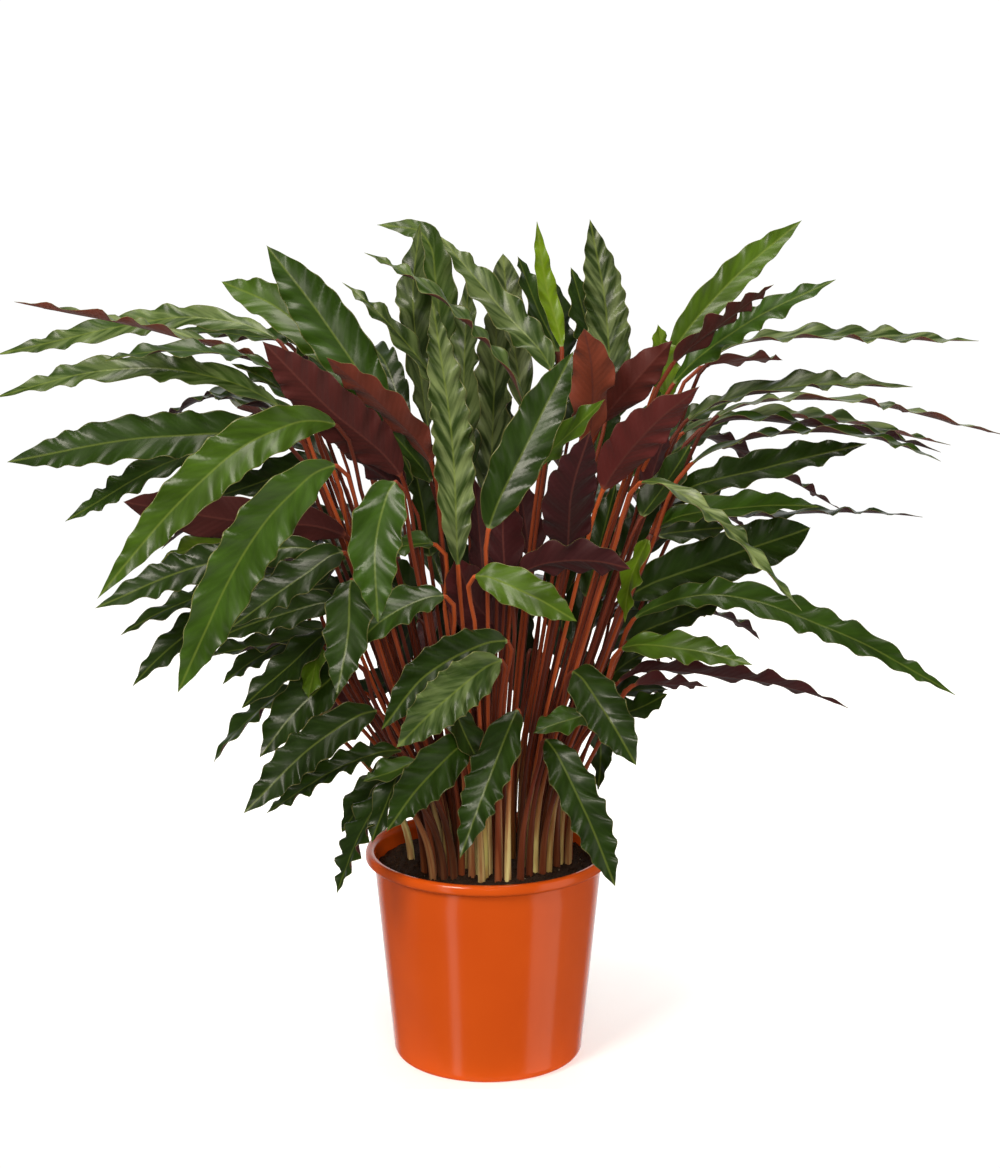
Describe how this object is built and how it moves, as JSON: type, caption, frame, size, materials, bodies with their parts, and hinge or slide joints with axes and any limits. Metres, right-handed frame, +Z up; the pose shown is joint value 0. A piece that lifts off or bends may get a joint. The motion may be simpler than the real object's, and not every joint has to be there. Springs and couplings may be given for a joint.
{
  "type": "potted calathea plant",
  "caption": "Leafy houseplant with long wavy leaves on thin stalks, growing from soil in a round tapered plastic pot.",
  "frame": {"origin": "centre of the pot's underside, in the plane that it stands on", "axes": "+Z up along the pot's axis, -Y towards the side that the picture shows, +X to the right of that side"},
  "size_m": [0.8397, 0.5663, 0.7115],
  "materials": {
    "pot_plastic": "gloss",
    "potting_soil": "matte",
    "leaf": "satin"
  },
  "bodies": {
    "root": {"pot": "pot_plastic", "soil": "potting_soil", "leaf_left_01": "leaf", "leaf_left_02": "leaf", "leaf_left_03": "leaf", "leaf_left_04": "leaf", "leaf_left_05": "leaf", "leaf_left_06": "leaf", "leaf_left_07": "leaf", "leaf_left_08": "leaf", "leaf_left_09": "leaf", "leaf_left_10": "leaf", "leaf_left_11": "leaf", "leaf_left_12": "leaf", "leaf_left_13": "leaf", "leaf_left_14": "leaf", "leaf_top_01": "leaf", "leaf_top_02": "leaf", "leaf_inner_01": "leaf", "leaf_inner_02": "leaf", "leaf_top_03": "leaf", "leaf_top_04": "leaf", "leaf_top_05": "leaf", "leaf_top_06": "leaf", "leaf_top_07": "leaf", "leaf_top_08": "leaf", "leaf_top_09": "leaf", "leaf_inner_03": "leaf", "leaf_inner_04": "leaf", "leaf_inner_05": "leaf", "leaf_inner_06": "leaf", "leaf_front_01": "leaf", "leaf_front_02": "leaf", "leaf_front_03": "leaf", "leaf_front_04": "leaf", "leaf_front_05": "leaf", "leaf_front_06": "leaf", "leaf_front_07": "leaf", "leaf_front_08": "leaf", "leaf_front_09": "leaf", "leaf_front_10": "leaf", "leaf_right_01": "leaf", "leaf_right_02": "leaf", "leaf_right_03": "leaf", "leaf_right_04": "leaf", "leaf_right_05": "leaf", "leaf_right_06": "leaf", "leaf_right_07": "leaf", "leaf_right_08": "leaf", "leaf_right_09": "leaf", "leaf_right_10": "leaf", "leaf_right_11": "leaf", "leaf_back_01": "leaf", "leaf_back_02": "leaf", "leaf_back_03": "leaf", "leaf_back_04": "leaf", "leaf_back_05": "leaf", "leaf_back_06": "leaf", "leaf_back_07": "leaf", "leaf_back_08": "leaf"}
  },
  "joints": []
}
